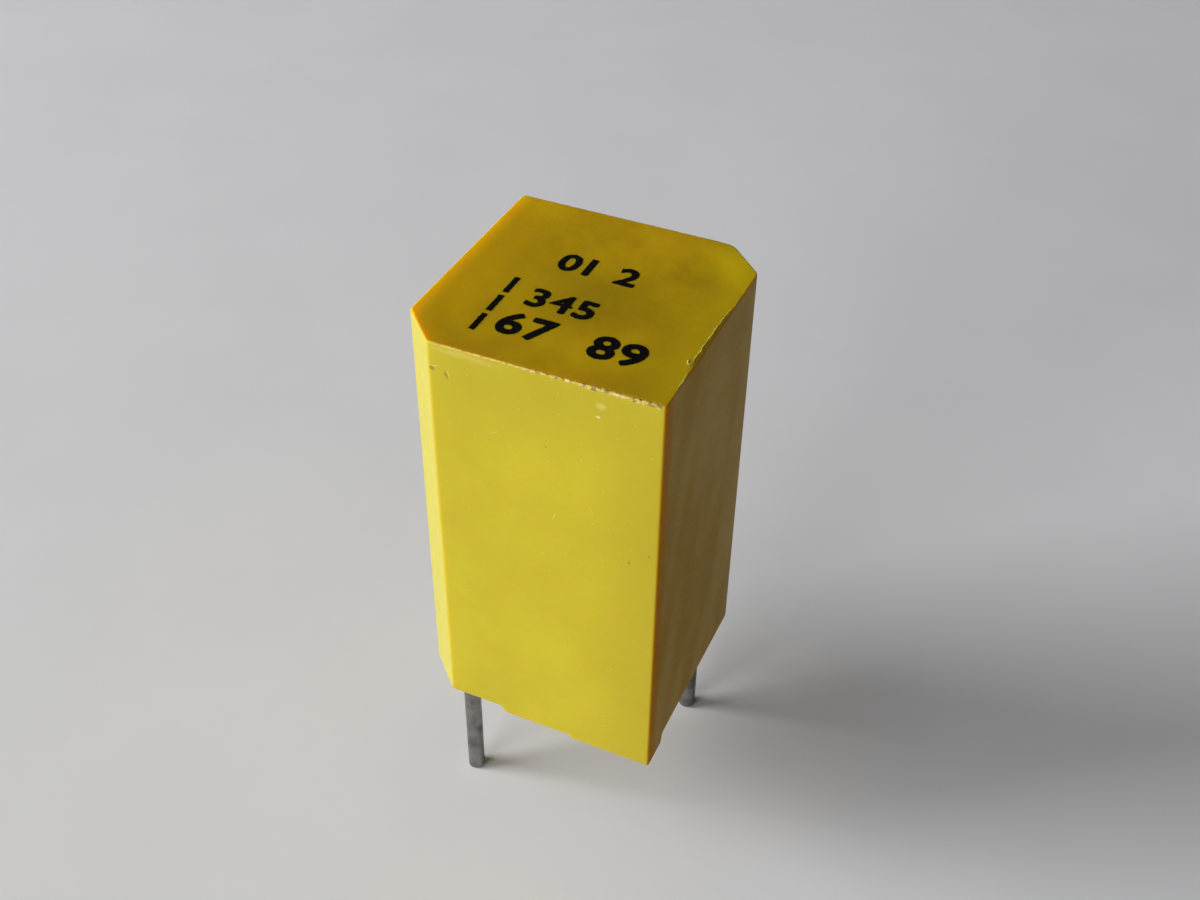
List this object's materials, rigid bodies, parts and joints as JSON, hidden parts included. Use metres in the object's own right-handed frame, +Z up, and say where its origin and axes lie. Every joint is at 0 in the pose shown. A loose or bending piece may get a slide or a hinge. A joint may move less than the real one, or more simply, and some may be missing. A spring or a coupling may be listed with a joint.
{
  "type": "box film capacitor",
  "caption": "Upright box film capacitor with cut corners, potted underneath, with wire leads on the diagonal.",
  "frame": {"origin": "midway between the two leads, on the plane that the feet under the case stand on", "axes": "+Z up from the leads to the closed printed face, +X along the front wall, +Y from the front wall to the back wall"},
  "size_m": [0.0072, 0.0072, 0.0169],
  "materials": {
    "case_plastic": "moulded yellow plastic, slightly scuffed",
    "resin": "cast yellow resin",
    "film": "clear film wound with foil",
    "foil": "thin bright foil",
    "solder": "dull solder",
    "lead_wire": "tinned wire gone dull"
  },
  "bodies": {
    "root": {"case": "case_plastic", "potting": "resin", "winding": "film", "lower_foil_edge": "foil", "upper_foil_edge": "foil", "lower_solder": "solder", "upper_solder": "solder", "left_lead": "lead_wire", "right_lead": "lead_wire"}
  },
  "joints": []
}
